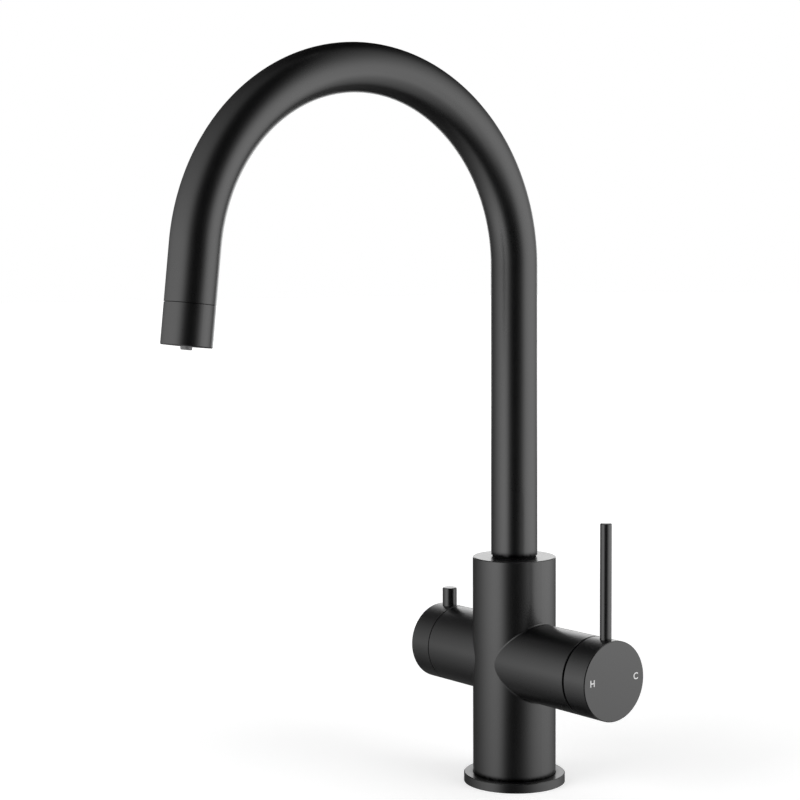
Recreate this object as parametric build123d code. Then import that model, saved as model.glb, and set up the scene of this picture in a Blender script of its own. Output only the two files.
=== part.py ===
from build123d import *
import math
import os

os.makedirs("parts", exist_ok=True)

# A three-way kitchen tap: a barrel with two side arms, a swinging gooseneck, a mixer on the
# right arm (+X) and a filtered water valve on the left arm (-X). The spout points to the
# front (-Y). The origin is the middle of the foot, on the worktop. All sizes are in mm.

# Barrel and foot
body_diameter = 45.0
body_height = 123.4
edge_break = 0.4
flange_lip = 5.0
flange_thickness = 5.0
flange_ledge_width = 3.0
flange_ledge_height = 1.5
flange_gap = 0.25
base_seal_width = 2.4
base_seal_height = 1.6

# Side arms and the knobs at their ends
arm_height = 67.9
arm_wall = 3.35
arm_root_fillet = 0.8
mixer_arm_reach = 61.6
handle_gap = 1.4
mixer_knob_length = 15.2
filter_arm_reach = 48.8
filter_knob_gap = 0.4
filter_knob_length = 15.0

# Levers: straight pins that stand on the knobs
mixer_lever_diameter = 6.0
mixer_lever_length = 60.0
mixer_lever_inset = 6.5
mixer_lever_seat = 1.2
mixer_lever_tail_diameter = 4.0
mixer_lever_tail_length = 4.5
filter_lever_diameter = 8.0
filter_lever_length = 9.9
filter_lever_inset = 8.3
filter_lever_seat = 1.5
filter_lever_tail_diameter = 5.0
filter_lever_tail_length = 5.0

# Gooseneck
tube_diameter = 25.0
tube_wall = 1.2
arch_radius = 99.6
arch_centre_height = 280.2
arch_sweep = 173.4
outlet_leg = 48.7
sleeve_length = 20.1
sleeve_joint = 0.35
sleeve_wall = 1.75
sleeve_lip_width = 0.7
sleeve_lip_height = 1.2

# Spout seat
glide_ring_height = 1.1
glide_ring_inset = 0.7
glide_ring_width = 1.1
spigot_length = 33.0
spigot_plug_length = 15.0
spigot_wall = 3.5
spigot_floor_gap = 2.0
spout_seal_height = 1.9
spout_seal_depth = 1.8
upper_spout_seal_drop = 17.0
lower_spout_seal_drop = 25.0
swing_limit = 90.0
stop_screw_drop = 7.4
stop_screw_diameter = 5.0
stop_tip_diameter = 3.4
stop_tip_length = 2.4
stop_groove_depth = 2.2

# Filtered water tube inside the spout
inner_tube_diameter = 6.0
inner_tube_wall = 1.0
inner_tube_tail = 12.0
inner_seal_height = 1.8
inner_seal_width = 1.4
spider_hub_wall = 1.5
spider_rib = 1.6
spider_length = 8.0
nozzle_diameter = 5.7
nozzle_bore = 3.2
nozzle_protrusion = 1.7
nozzle_length = 17.6
nozzle_play = 0.15
adapter_plug_length = 11.5
adapter_thread_length = 8.5
adapter_wall = 1.8
aerator_slot_count = 20
aerator_slot_width = 1.1
aerator_plate = 2.0
aerator_hub_wall = 1.2
aerator_wall = 1.2
aerator_hub_length = 4.5
aerator_slot_margin = 0.5
aerator_seal_height = 1.0
aerator_seal_width = 1.8

# Mixing cartridge
cartridge_diameter = 35.0
cartridge_wall = 2.4
cartridge_clearance = 0.15
cartridge_base_height = 8.0
mixing_disc_height = 4.0
moving_disc_height = 5.0
moving_disc_radius = 11.3
mixing_recess_radius = 7.0
mixing_recess_depth = 1.2
pivot_depth = 14.0
tilt_limit = 22.0
stem_width = 8.0
stem_reach = 24.4
stem_drop = 16.0
stem_hub_radius = 5.0
stem_neck_radius = 1.6
ball_radius = 2.2
tilt_pin_diameter = 3.0
tilt_pin_length = 20.0
carrier_neck_radius = 11.0
carrier_shoulder = 3.0
housing_shoulder = 1.5
housing_top = 7.0
port_radius = 2.2
outlet_port_radius = 2.5
inlet_port_rise = 5.0
inlet_port_spread = 7.0
port_seal_height = 1.0
port_seal_width = 1.2
nut_length = 7.5
nut_wall = 1.9
nut_thread_runout = 0.5
nut_notch_width = 4.0
nut_notch_depth = 2.0
dome_wall = 1.6
dome_opening = 43.5

# Mixer knob
hub_radius = 8.0
hub_length = 9.5
grub_diameter = 4.0
mixer_grub_length = 4.0
filter_grub_length = 12.0
grub_play = 0.3
grub_access_diameter = 4.6

# Filter headwork: quarter-turn valve with two ceramic discs
valve_floor = 16.0
valve_bore_radius = 10.5
valve_disc_radius = 6.4
valve_disc_height = 3.4
valve_driver_height = 3.0
valve_tongue_width = 2.2
valve_tongue_height = 0.9
valve_tongue_play = 0.1
valve_nose_radius = 8.4
valve_window_width = 7.0
valve_thread_start = 14.0
valve_thread_length = 6.0
valve_hex_width = 24.0
valve_hex_length = 5.0
valve_hex_room = 1.2
valve_neck_radius = 7.6
valve_neck_stand = 1.2
valve_pocket_clearance = 1.5
spindle_radius = 4.2
spline_teeth = 20
spline_depth = 0.4
spline_length = 9.0
spline_stand = 1.0
seat_washer_height = 2.2
seat_washer_bore = 3.2
headwork_seal_height = 2.0
headwork_seal_depth = 1.7
spindle_seal_height = 1.8
spindle_seal_depth = 1.0

# Foot connections: one stud and three hose tails
stud_hole_radius = 3.4
stud_hole_depth = 18.0
inlet_hole_radius = 4.5
inlet_hole_depth = 14.0
inlet_circle_radius = 11.0
waterway_radius = 3.5
mixed_way_radius = 2.6
filtered_way_radius = 1.8

# Clearances
running_fit = 0.05
fixed_fit = 0.03
sphere_clearance = 0.3
film_gap = 0.05
slot_clearance = 0.3
cut_over = 1.0

# Radii and heights that follow from the sizes above
body_radius = body_diameter / 2
flange_radius = body_radius + flange_lip
foot_radius = body_radius - flange_ledge_width
cartridge_radius = cartridge_diameter / 2
arm_radius = cartridge_radius + cartridge_clearance + arm_wall
tube_radius = tube_diameter / 2
tube_inner = tube_radius - tube_wall
tube_start = body_height + glide_ring_height
glide_ring_radius = tube_radius - glide_ring_inset
journal_radius = glide_ring_radius - glide_ring_width - running_fit
socket_radius = journal_radius + running_fit
spigot_end = tube_start - spigot_length
socket_floor = spigot_end - spigot_floor_gap
spigot_bore = journal_radius - spigot_wall
inner_tube_radius = inner_tube_diameter / 2
inner_tube_bore = inner_tube_radius - inner_tube_wall
inner_socket_radius = inner_tube_radius + running_fit
inner_tube_start = socket_floor - inner_tube_tail
sleeve_bore = tube_radius - sleeve_wall
stop_screw_height = body_height - stop_screw_drop

# The mixer's pivot lies on the arm's axis, so the knob and the arm's end meet on one sphere
pivot_reach = mixer_arm_reach - pivot_depth
cap_radius = math.hypot(pivot_depth, arm_radius)
cavity_radius = cap_radius + sphere_clearance
mixer_knob_start = mixer_arm_reach + handle_gap
mixer_knob_face = mixer_knob_start + mixer_knob_length
mixer_lever_reach = mixer_knob_face - mixer_lever_inset
ball_reach = pivot_reach - stem_drop
moving_disc_top = ball_reach + 1.2
moving_disc_bottom = moving_disc_top - moving_disc_height
fixed_disc_top = moving_disc_bottom - film_gap
fixed_disc_bottom = fixed_disc_top - mixing_disc_height
cartridge_floor = fixed_disc_bottom - cartridge_base_height
cartridge_inner = cartridge_radius - cartridge_wall
carrier_radius = cartridge_inner - running_fit
carrier_bottom = moving_disc_top + slot_clearance
carrier_step = pivot_reach - carrier_shoulder
carrier_top = pivot_reach + housing_top - 0.2
housing_step = pivot_reach + housing_shoulder
housing_end = pivot_reach + housing_top
nut_radius = arm_radius - nut_wall - fixed_fit
nut_end = housing_step + nut_length
disc_travel = stem_drop * math.sin(math.radians(tilt_limit))
grub_reach = mixer_knob_face - mixer_lever_inset - 2.0

# The filter valve's pieces are stacked outwards from the floor of the left arm's bore
valve_stack_start = valve_floor + seat_washer_height
valve_fixed_top = valve_stack_start + valve_disc_height
valve_moving_start = valve_fixed_top + film_gap
valve_moving_top = valve_moving_start + valve_disc_height
valve_driver_start = valve_moving_top + film_gap
valve_driver_top = valve_driver_start + valve_driver_height
valve_chamber_top = valve_driver_top + film_gap
valve_thread_base = valve_floor + valve_thread_start
valve_hex_start = valve_thread_base + valve_thread_length
valve_neck_end = filter_arm_reach + valve_neck_stand
filter_knob_start = filter_arm_reach + filter_knob_gap
filter_knob_face = filter_knob_start + filter_knob_length
filter_lever_reach = filter_knob_face - filter_lever_inset
spline_start = valve_neck_end + spline_stand
spline_end = spline_start + spline_length

# Each arm's frame: local Z runs out along the arm, local X is up
right = Plane(origin=(0, 0, arm_height), x_dir=(0, 0, 1), z_dir=(1, 0, 0))
left = Plane(origin=(0, 0, arm_height), x_dir=(0, 0, 1), z_dir=(-1, 0, 0))


def rod(radius, low, high):
    return Pos(0, 0, low) * extrude(Circle(radius), high - low)


def ring(outer, inner, low, high):
    return Pos(0, 0, low) * extrude(Circle(outer) - Circle(inner), high - low)


def turned(*outline):
    """A lathe-turned solid from its corners as (radius, height)."""
    return revolve(make_face(Plane.XZ * Polyline(*outline, close=True)), Axis.Z)


def drill(start, end, radius):
    """A straight waterway between two points."""
    way = Vector(*end) - Vector(*start)
    return Plane(origin=start, z_dir=way) * extrude(Circle(radius), way.length)


def grub_screw(diameter, length):
    """A headless screw along Z, with a hexagon socket in its outer end."""
    socket_width = diameter * 0.5
    socket_depth = diameter * 0.45
    socket = extrude(RegularPolygon(socket_width / 2, 6, major_radius=False), socket_depth)
    return rod(diameter / 2, 0, length) - Pos(0, 0, length - socket_depth) * socket


def spline_profile(tip_radius):
    """The outline of the splined spindle, with one tooth for each step round."""
    points = []
    for index in range(2 * spline_teeth):
        radius = tip_radius if index % 2 == 0 else tip_radius - spline_depth
        angle = math.pi * index / spline_teeth
        points.append((radius * math.cos(angle), radius * math.sin(angle)))
    return make_face(Polyline(*points, close=True))


def spider(outer, low, high):
    """A hub on three ribs, which holds the inner tube in the middle of a round bore."""
    hub_radius_here = inner_tube_radius + fixed_fit + spider_hub_wall
    rib_length = outer - hub_radius_here + 0.6
    rib = Pos(hub_radius_here - 0.3 + rib_length / 2, 0) * Rectangle(rib_length, spider_rib)
    plan = Circle(hub_radius_here)
    for index in range(3):
        plan += Rot(0, 0, 120 * index) * rib
    plan -= Circle(inner_tube_radius + fixed_fit)
    return Pos(0, 0, low) * extrude(plan, high - low)


# The spout's centre line, in the plane of symmetry
def spout_line(start_height, leg):
    riser = Line((0, start_height), (0, arch_centre_height))
    arch = JernArc(start=(0, arch_centre_height), tangent=(0, 1), radius=arch_radius,
                   arc_size=arch_sweep)
    fall = Line(arch @ 1, arch @ 1 + (arch % 1) * leg)
    return Plane.YZ * (riser + arch + fall)


outlet_centre = spout_line(tube_start, outlet_leg) @ 1
outlet_direction = spout_line(tube_start, outlet_leg) % 1
# The outlet's frame: its origin is the middle of the spout's end and Z follows the water
outlet = Plane(origin=outlet_centre, x_dir=(1, 0, 0), z_dir=outlet_direction)


# The barrel and its arms: one brass casting, bored for both valves and the spout
def make_body():
    barrel = turned(
        (0, 0), (foot_radius, 0), (foot_radius, flange_ledge_height),
        (body_radius, flange_ledge_height), (body_radius, body_height - edge_break),
        (body_radius - edge_break, body_height), (0, body_height),
    )
    mixer_arm = turned(
        (0, 0), (arm_radius, 0), (arm_radius, mixer_arm_reach - edge_break / 2),
        (arm_radius - edge_break / 2, mixer_arm_reach), (0, mixer_arm_reach),
    )
    filter_arm = turned(
        (0, 0), (arm_radius, 0), (arm_radius, filter_arm_reach - edge_break / 2),
        (arm_radius - edge_break / 2, filter_arm_reach), (0, filter_arm_reach),
    )
    body = barrel + right * mixer_arm + left * filter_arm
    arm_roots = body.edges().filter_by(lambda edge: edge.geom_type not in (GeomType.CIRCLE, GeomType.LINE))
    body = fillet(arm_roots, arm_root_fillet)

    # Spout socket, with the inner tube's own socket below it
    body -= rod(socket_radius, socket_floor, body_height + cut_over)
    body -= rod(inner_socket_radius, inner_tube_start - 2, socket_floor + cut_over)
    body -= rod(inner_socket_radius + inner_seal_width, socket_floor - inner_seal_height,
                socket_floor + cut_over)

    # Cartridge seat and the thread for its nut
    cartridge_bore = rod(cartridge_radius + cartridge_clearance, cartridge_floor,
                         mixer_arm_reach + cut_over)
    nut_bore = rod(nut_radius + fixed_fit, housing_step - nut_thread_runout, mixer_arm_reach + cut_over)
    body -= right * (cartridge_bore + nut_bore)

    # Valve seat with the wider room for the headwork's hexagon
    valve_bore = rod(valve_bore_radius, valve_floor, filter_arm_reach + cut_over)
    hexagon_room = rod(valve_hex_width / math.sqrt(3) + valve_hex_room, valve_hex_start,
                       filter_arm_reach + cut_over)
    body -= left * (valve_bore + hexagon_room)

    # Hot and cold: up from the foot, then across to the cartridge's ports
    inlet_x = inlet_circle_radius * math.cos(math.radians(60))
    inlet_y = inlet_circle_radius * math.sin(math.radians(60))
    port_height = arm_height + inlet_port_rise
    for side in (-1, 1):
        riser_top = (inlet_x, side * inlet_y, port_height + port_radius)
        body -= drill((inlet_x, side * inlet_y, 0), riser_top, waterway_radius)
        port = side * inlet_port_spread
        body -= drill((inlet_x, port, port_height), (cartridge_floor + cut_over, port, port_height),
                      port_radius)

    # Mixed water: back from the cartridge, then up beside the inner socket
    mixed_x = (inner_socket_radius + inner_seal_width + socket_radius) / 2
    body -= drill((cartridge_floor + cut_over, 0, arm_height), (mixed_x, 0, arm_height),
                  outlet_port_radius)
    body -= drill((mixed_x, 0, arm_height - outlet_port_radius), (mixed_x, 0, socket_floor + cut_over),
                  mixed_way_radius)

    # Filtered water: up to the valve's seat, and from the room round it to the inner socket
    body -= drill((-inlet_circle_radius, 0, 0), (-inlet_circle_radius, 0, arm_height + 2),
                  waterway_radius)
    body -= drill((-inlet_circle_radius, 0, arm_height), (-valve_floor - cut_over, 0, arm_height),
                  seat_washer_bore)
    outflow = arm_height + valve_bore_radius - filtered_way_radius - 0.2
    body -= drill((-valve_floor - cut_over, 0, outflow), (0, 0, outflow), filtered_way_radius)

    # Threaded holes in the foot
    body -= rod(stud_hole_radius, -cut_over, stud_hole_depth)
    for angle in (60, -60, 180):
        hole = Pos(inlet_circle_radius, 0, 0) * rod(inlet_hole_radius, -cut_over, inlet_hole_depth)
        body -= Rot(0, 0, angle) * hole

    # Threaded hole for the spout's retaining screw, at the back
    screw_hole = rod(stop_screw_diameter / 2 + fixed_fit, 0, body_radius + cut_over)
    body -= Pos(0, 0, stop_screw_height) * Rot(-90, 0, 0) * screw_hole
    return body


# The trim ring under the barrel, held by the step in the barrel's foot
def make_base_flange():
    inner = foot_radius + fixed_fit
    counterbore = body_radius + flange_gap
    flange = turned(
        (inner, 0), (flange_radius, 0), (flange_radius, flange_thickness - edge_break),
        (flange_radius - edge_break, flange_thickness), (counterbore, flange_thickness),
        (counterbore, flange_ledge_height), (inner, flange_ledge_height),
    )
    seal_outer = flange_radius - (flange_lip - base_seal_width) / 2
    groove = ring(seal_outer, seal_outer - base_seal_width, -cut_over, base_seal_height)
    return flange - groove


def make_base_seal():
    seal_outer = flange_radius - (flange_lip - base_seal_width) / 2
    return ring(seal_outer - fixed_fit, seal_outer - base_seal_width + fixed_fit, 0,
                base_seal_height)


# The plastic ring that the spout glides on
def make_glide_ring():
    return ring(glide_ring_radius, journal_radius + running_fit, body_height, tube_start - film_gap)


def make_spout_retaining_screw():
    tip_end = journal_radius - stop_groove_depth + film_gap
    tip = rod(stop_tip_diameter / 2, tip_end, journal_radius + stop_tip_length)
    shank_start = journal_radius + 0.6
    shank = Pos(0, 0, shank_start) * grub_screw(stop_screw_diameter, body_radius - shank_start - 1)
    return Pos(0, 0, stop_screw_height) * Rot(-90, 0, 0) * (tip + shank)


# The gooseneck: one drawn tube bent in a wide arch
def make_spout_tube():
    section = Circle(tube_radius) - Circle(tube_inner)
    leg = outlet_leg - sleeve_length - sleeve_joint
    return sweep(Pos(0, 0, tube_start) * section, path=spout_line(tube_start, leg))


# The spout's brass foot: a plug in the tube, and a journal with two seal grooves and a stop groove
def make_spout_spigot():
    plug_radius = tube_inner - fixed_fit
    spigot = rod(plug_radius, tube_start, tube_start + spigot_plug_length)
    spigot += rod(journal_radius, spigot_end, tube_start)
    spigot -= rod(spigot_bore, spigot_end - cut_over, tube_start + spigot_plug_length + cut_over)
    for drop in (upper_spout_seal_drop, lower_spout_seal_drop):
        low = body_height - drop
        spigot -= ring(journal_radius + cut_over, journal_radius - spout_seal_depth, low,
                       low + spout_seal_height)
    spigot += spider(spigot_bore, tube_start, tube_start + spider_length)
    return spigot - stop_groove()


def stop_groove():
    """The arc that the retaining screw's tip runs in: its ends stop the spout's swing."""
    tip_angle = math.degrees(math.asin(
        (stop_tip_diameter / 2 + running_fit) / (journal_radius - stop_groove_depth)))
    half_arc = swing_limit + tip_angle
    half_height = stop_tip_diameter / 2 + 0.2
    inner = journal_radius - stop_groove_depth
    profile = Pos((inner + journal_radius + cut_over) / 2, stop_screw_height) * Rectangle(
        journal_radius + cut_over - inner, 2 * half_height)
    groove = revolve(Plane.XZ * profile, Axis.Z, revolution_arc=2 * half_arc)
    return Rot(0, 0, 90 - half_arc) * groove


def make_spout_seals():
    seals = []
    for drop in (upper_spout_seal_drop, lower_spout_seal_drop):
        low = body_height - drop
        seals.append(ring(journal_radius, journal_radius - spout_seal_depth + fixed_fit,
                          low + fixed_fit, low + spout_seal_height - fixed_fit))
    return Compound(children=seals)


# The separate way for filtered water, along the whole spout
def make_filter_water_tube():
    section = Circle(inner_tube_radius) - Circle(inner_tube_bore)
    leg = outlet_leg - (nozzle_length - nozzle_protrusion) - film_gap
    return sweep(Pos(0, 0, inner_tube_start) * section, path=spout_line(inner_tube_start, leg))


def make_inner_tube_seal():
    return ring(inner_socket_radius + inner_seal_width - fixed_fit, inner_socket_radius,
                socket_floor - inner_seal_height, socket_floor - fixed_fit)


# The brass fitting in the spout's end: it carries the sleeve and the inner tube
def make_outlet_adapter():
    joint = -sleeve_length
    tube_end = joint - sleeve_joint
    plug_radius = tube_inner - fixed_fit
    thread_radius = sleeve_bore - fixed_fit
    bore = thread_radius - adapter_wall
    adapter = rod(plug_radius, tube_end - adapter_plug_length, tube_end)
    adapter += rod(tube_inner + tube_wall / 2, tube_end, joint)
    adapter += rod(thread_radius, joint, joint + adapter_thread_length)
    adapter -= rod(bore, tube_end - adapter_plug_length - cut_over,
                   joint + adapter_thread_length + cut_over)
    adapter += spider(bore, tube_end - adapter_plug_length,
                      tube_end - adapter_plug_length + spider_length)
    return outlet * adapter


def make_outlet_sleeve():
    sleeve = turned(
        (sleeve_bore, -sleeve_length), (tube_radius, -sleeve_length),
        (tube_radius, -edge_break), (tube_radius - edge_break, 0),
        (sleeve_bore - sleeve_lip_width, 0), (sleeve_bore - sleeve_lip_width, -sleeve_lip_height),
        (sleeve_bore, -sleeve_lip_height),
    )
    return outlet * sleeve


# The aerator: a cup whose floor is a ring of radial slots round the nozzle
def make_aerator_insert():
    outer = sleeve_bore - fixed_fit
    floor = -sleeve_lip_height
    top = -sleeve_length + adapter_thread_length + aerator_seal_height
    hub_bore = nozzle_diameter / 2 + nozzle_play
    hub = hub_bore + aerator_hub_wall
    slot_outer = outer - aerator_wall - aerator_slot_margin
    slot_inner = hub + aerator_slot_margin
    insert = ring(outer, outer - aerator_wall, top, floor)
    insert += ring(outer, hub_bore, floor - aerator_plate, floor)
    insert += ring(hub, hub_bore, floor - aerator_hub_length, floor)
    slot = Pos((slot_inner + slot_outer) / 2, 0) * Rectangle(slot_outer - slot_inner,
                                                             aerator_slot_width)
    slots = extrude(slot, aerator_plate + 2)
    for index in range(aerator_slot_count):
        turn = Rot(0, 0, 360 / aerator_slot_count * index)
        insert -= turn * Pos(0, 0, floor - aerator_plate - 1) * slots
    return outlet * insert


def make_aerator_seal():
    low = -sleeve_length + adapter_thread_length
    return outlet * ring(sleeve_bore - fixed_fit, sleeve_bore - aerator_seal_width, low,
                         low + aerator_seal_height)


def make_filter_nozzle():
    start = nozzle_protrusion - nozzle_length
    nozzle = turned(
        (nozzle_bore / 2, start), (nozzle_diameter / 2, start),
        (nozzle_diameter / 2, nozzle_protrusion - edge_break),
        (nozzle_diameter / 2 - edge_break, nozzle_protrusion), (nozzle_bore / 2, nozzle_protrusion),
    )
    return outlet * nozzle


def port_places():
    """Each water port of the cartridge as (up, front, radius) from the arm's axis."""
    return [
        (inlet_port_rise, inlet_port_spread, port_radius),
        (inlet_port_rise, -inlet_port_spread, port_radius),
        (0, 0, outlet_port_radius),
    ]


# The cartridge's shell: a cup with a neck, open to the discs below
def make_cartridge_housing():
    neck = carrier_neck_radius + running_fit
    step = carrier_step + running_fit
    return right * turned(
        (cartridge_inner, fixed_disc_bottom), (cartridge_radius, fixed_disc_bottom),
        (cartridge_radius, housing_step), (neck + cartridge_wall, housing_step),
        (neck + cartridge_wall, housing_end), (neck, housing_end), (neck, step),
        (cartridge_inner, step),
    )


def make_cartridge_base():
    base = rod(cartridge_radius, cartridge_floor, fixed_disc_bottom)
    for up, front, radius in port_places():
        base -= Pos(up, front) * rod(radius, cartridge_floor - cut_over,
                                     fixed_disc_bottom + cut_over)
        base -= Pos(up, front) * rod(radius + port_seal_width, cartridge_floor - cut_over,
                                     cartridge_floor + port_seal_height)
    return right * base


def make_cartridge_seals():
    seals = []
    for up, front, radius in port_places():
        seals.append(right * Pos(up, front) * ring(
            radius + port_seal_width - fixed_fit, radius + fixed_fit, cartridge_floor,
            cartridge_floor + port_seal_height - fixed_fit))
    return Compound(children=seals)


def make_fixed_mixing_disc():
    disc = rod(cartridge_inner - fixed_fit, fixed_disc_bottom, fixed_disc_top)
    for up, front, radius in port_places():
        disc -= Pos(up, front) * rod(radius, fixed_disc_bottom - cut_over, fixed_disc_top + cut_over)
    return right * disc


# The moving disc slides up as the stem tilts: its recess then joins the inlets to the outlet
def make_moving_mixing_disc():
    offset = -disc_travel / 2
    flat = moving_disc_radius * 0.85
    plan = Pos(offset, 0) * (Circle(moving_disc_radius) & Rectangle(4 * moving_disc_radius, 2 * flat))
    disc = Pos(0, 0, moving_disc_bottom) * extrude(plan, moving_disc_height)
    disc -= Pos(offset, 0) * rod(mixing_recess_radius, moving_disc_bottom - cut_over,
                                 moving_disc_bottom + mixing_recess_depth)
    pocket_radius = ball_radius + 0.25
    pocket_floor = ball_reach - ball_radius - 0.35
    disc -= rod(pocket_radius, max(pocket_floor, moving_disc_bottom + mixing_recess_depth + 0.01),
                moving_disc_top + cut_over)
    return right * disc


# The rotor turns in the housing, guides the moving disc by its flats and carries the tilt pin
def make_mixing_carrier():
    carrier = rod(carrier_radius, carrier_bottom, carrier_step)
    carrier += rod(carrier_neck_radius, carrier_step, carrier_top)
    guide_flat = moving_disc_radius * 0.85 + running_fit
    guide_low = moving_disc_bottom + 0.4
    guides = ring(carrier_radius, cartridge_inner * 0.5, guide_low, carrier_bottom)
    guides -= Pos(0, 0, guide_low) * Box(4 * carrier_radius, 2 * guide_flat,
                                         2 * (carrier_bottom - guide_low + cut_over))
    carrier += guides
    carrier -= Pos(0, 0, pivot_reach) * stem_slot()
    return right * (carrier - Pos(0, 0, pivot_reach) * pin_hole(fixed_fit))


def stem_slot():
    """The room that the stem sweeps as it tilts, from its pivot at the origin."""
    tilt = math.radians(tilt_limit)
    half = stem_width / 2
    high = carrier_top - pivot_reach + cut_over
    low = pivot_reach - carrier_bottom + cut_over
    hub = stem_hub_radius + slot_clearance
    tip = ball_radius + slot_clearance
    outer_swing = high * math.tan(tilt) + half / math.cos(tilt) + slot_clearance
    inner_swing = disc_travel + ball_radius + 2 * slot_clearance
    outline = Polyline(
        (half + slot_clearance, high), (hub, hub * 0.6), (hub, -hub * 0.4),
        (inner_swing, -low * 0.75), (inner_swing, -low), (-tip, -low), (-tip, -low * 0.8),
        (-hub, -hub), (-hub, hub * 0.3), (-outer_swing, high), close=True)
    width = stem_width + 2 * slot_clearance
    return Pos(0, width / 2, 0) * extrude(Plane.XZ * make_face(outline), width)


def pin_hole(clearance):
    half = tilt_pin_length / 2 + cut_over * 3
    return Rot(90, 0, 0) * rod(tilt_pin_diameter / 2 + clearance, -half, half)


def make_tilt_pin():
    half = tilt_pin_length / 2
    pin = Rot(90, 0, 0) * rod(tilt_pin_diameter / 2, -half, half)
    return right * Pos(0, 0, pivot_reach) * pin


# The stem: a square bar above the pivot, a tapered arm with a ball end below it
def make_mixer_stem():
    bar = Pos(0, 0, stem_reach / 2) * Box(stem_width, stem_width, stem_reach)
    hub = Rot(90, 0, 0) * rod(stem_hub_radius, -stem_width / 2, stem_width / 2)
    arm_length = stem_drop
    arm = Pos(0, 0, -arm_length / 2) * Cone(stem_neck_radius, stem_width / 2 - 0.3, arm_length)
    ball = Pos(0, 0, -stem_drop) * Sphere(ball_radius)
    stem = bar + hub + arm + ball
    return right * Pos(0, 0, pivot_reach) * (stem - pin_hole(running_fit))


# The ring nut presses on the housing's shoulder: four notches take the spanner
def make_cartridge_nut():
    inner = carrier_neck_radius + running_fit + cartridge_wall + 0.4
    nut = ring(nut_radius, inner, housing_step, nut_end)
    notch = Pos((inner + nut_radius) / 2, 0, nut_end) * Box(
        2 * (nut_radius - inner), nut_notch_width, 2 * nut_notch_depth)
    for index in range(4):
        nut -= Rot(0, 0, 90 * index + 45) * notch
    return right * nut


# The dome: a ball-shaped ring that closes the arm's end under the tilting knob
def make_dome_cover():
    skirt_radius = nut_radius - 0.1
    inner_sphere = cap_radius - dome_wall
    skirt_low = nut_end - pivot_reach
    dome = rod(skirt_radius, skirt_low, cap_radius) & Sphere(cap_radius)
    dome -= rod(skirt_radius - dome_wall, skirt_low - cut_over, pivot_depth) + Sphere(inner_sphere)
    cone_length = cap_radius + cut_over
    cone = Cone(0, cone_length * math.tan(math.radians(dome_opening)), cone_length)
    dome -= Pos(0, 0, cone_length / 2) * cone
    return right * Pos(0, 0, pivot_reach) * dome


# The mixer's disc handle: hollow like a bowl, so that it tilts over the arm's end
def make_mixer_knob():
    knob = turned(
        (0, mixer_knob_start), (arm_radius, mixer_knob_start),
        (arm_radius, mixer_knob_face - edge_break), (arm_radius - edge_break, mixer_knob_face),
        (0, mixer_knob_face),
    )
    knob -= Pos(0, 0, pivot_reach) * Sphere(cavity_radius)
    cavity_end = pivot_reach + cavity_radius
    knob += rod(hub_radius, cavity_end - hub_length, cavity_end)
    square = stem_width + 2 * running_fit
    square_end = pivot_reach + stem_reach + 0.4
    square_start = cavity_end - hub_length - cut_over
    knob -= Pos(0, 0, (square_start + square_end) / 2) * Box(square, square,
                                                             square_end - square_start)
    knob -= Pos(0, 0, mixer_lever_reach) * lever_hole(
        mixer_lever_diameter, mixer_lever_seat, mixer_lever_tail_diameter, mixer_lever_tail_length)
    screw_end = stem_width / 2 + mixer_grub_length + grub_play
    screw_hole = rod(grub_diameter / 2 + fixed_fit, 0, screw_end)
    screw_hole += rod(grub_access_diameter / 2, screw_end, arm_radius + cut_over)
    return right * (knob - Pos(0, 0, grub_reach) * Rot(0, -90, 0) * screw_hole)


def lever_hole(diameter, seat, tail_diameter, tail_length):
    """The stepped hole for a lever, from the knob's axis upwards."""
    seat_base = arm_radius - seat
    hole = rod(diameter / 2 + fixed_fit, seat_base, arm_radius + cut_over)
    hole += rod(tail_diameter / 2 + fixed_fit, seat_base - tail_length - 0.3, seat_base)
    return Rot(0, 90, 0) * hole


def lever(diameter, length, seat, tail_diameter, tail_length):
    """A straight lever on a knob: its end is seated and its tail screwed in."""
    seat_base = arm_radius - seat
    top = arm_radius + length
    shaft = turned(
        (0, seat_base - tail_length), (tail_diameter / 2, seat_base - tail_length),
        (tail_diameter / 2, seat_base), (diameter / 2, seat_base),
        (diameter / 2, top - edge_break), (diameter / 2 - edge_break, top), (0, top),
    )
    return Rot(0, 90, 0) * shaft


def make_mixer_lever():
    shaft = lever(mixer_lever_diameter, mixer_lever_length, mixer_lever_seat,
                  mixer_lever_tail_diameter, mixer_lever_tail_length)
    return right * Pos(0, 0, mixer_lever_reach) * shaft


def make_mixer_grub_screw():
    screw = Pos(0, 0, stem_width / 2 + running_fit) * grub_screw(grub_diameter, mixer_grub_length)
    return right * Pos(0, 0, grub_reach) * Rot(0, -90, 0) * screw


# The filter headwork: a brass bushing with a windowed nose, a thread, a hexagon and a neck
def make_filter_headwork():
    chamber = valve_disc_radius + running_fit
    headwork = rod(valve_nose_radius, valve_stack_start - 0.2, valve_thread_base)
    headwork += rod(valve_bore_radius - fixed_fit, valve_thread_base, valve_hex_start)
    hexagon = RegularPolygon(valve_hex_width / 2, 6, major_radius=False)
    headwork += Pos(0, 0, valve_hex_start) * extrude(hexagon, valve_hex_length)
    headwork += rod(valve_neck_radius, valve_hex_start, valve_neck_end)
    headwork -= rod(chamber, valve_floor, valve_chamber_top)
    headwork -= rod(spindle_radius + running_fit, valve_floor, valve_neck_end + cut_over)
    window_length = valve_disc_height + valve_driver_height
    window = Box(valve_window_width, 4 * valve_nose_radius, window_length)
    headwork -= Pos(0, 0, valve_moving_start + window_length / 2) * window
    seal_low = valve_thread_base + (valve_thread_length - headwork_seal_height) / 2
    headwork -= ring(valve_bore_radius + cut_over, valve_bore_radius - headwork_seal_depth,
                     seal_low, seal_low + headwork_seal_height)
    return left * headwork


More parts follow.
